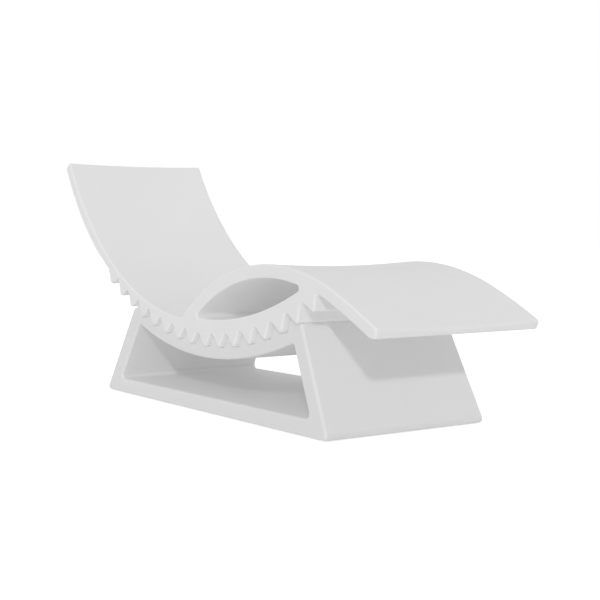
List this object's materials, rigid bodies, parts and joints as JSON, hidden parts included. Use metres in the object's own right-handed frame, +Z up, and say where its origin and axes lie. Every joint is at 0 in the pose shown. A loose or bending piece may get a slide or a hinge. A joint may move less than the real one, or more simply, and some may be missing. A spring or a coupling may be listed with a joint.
{
  "type": "spa relaxation lounger",
  "caption": "Reclining relaxation lounger: a hollow plastic wave-shaped seat with a toothed underside resting in the toothed cradle of a hollow trapezoid base.",
  "frame": {"origin": "centre of the bounding box's underside, on the floor midway between the back's top and the foot end", "axes": "+X along the sitter from head to foot, +Y across towards the sitter's left, +Z up"},
  "size_m": [1.7646, 0.51, 0.755],
  "materials": {
    "polyethylene": "fine matt moulded",
    "plug": "matt",
    "foot_rubber": "matt",
    "screw_steel": "satin",
    "insert_brass": "machined"
  },
  "bodies": {
    "base": {"base_shell": "polyethylene", "base_vent_plug": "plug", "foot_rear_left": "foot_rubber", "foot_rear_right": "foot_rubber", "foot_front_left": "foot_rubber", "foot_front_right": "foot_rubber", "foot_screw_rear_left": "screw_steel", "foot_screw_rear_right": "screw_steel", "foot_screw_front_left": "screw_steel", "foot_screw_front_right": "screw_steel", "foot_insert_rear_left": "insert_brass", "foot_insert_rear_right": "insert_brass", "foot_insert_front_left": "insert_brass", "foot_insert_front_right": "insert_brass"},
    "seat": {"seat_shell": "polyethylene", "seat_vent_plug": "plug"}
  },
  "joints": [
    {"name": "seat_lift", "type": "slide", "parent": "base", "child": "seat", "axis": [0, 0, 1], "range_m": [0, 0.15]}
  ]
}
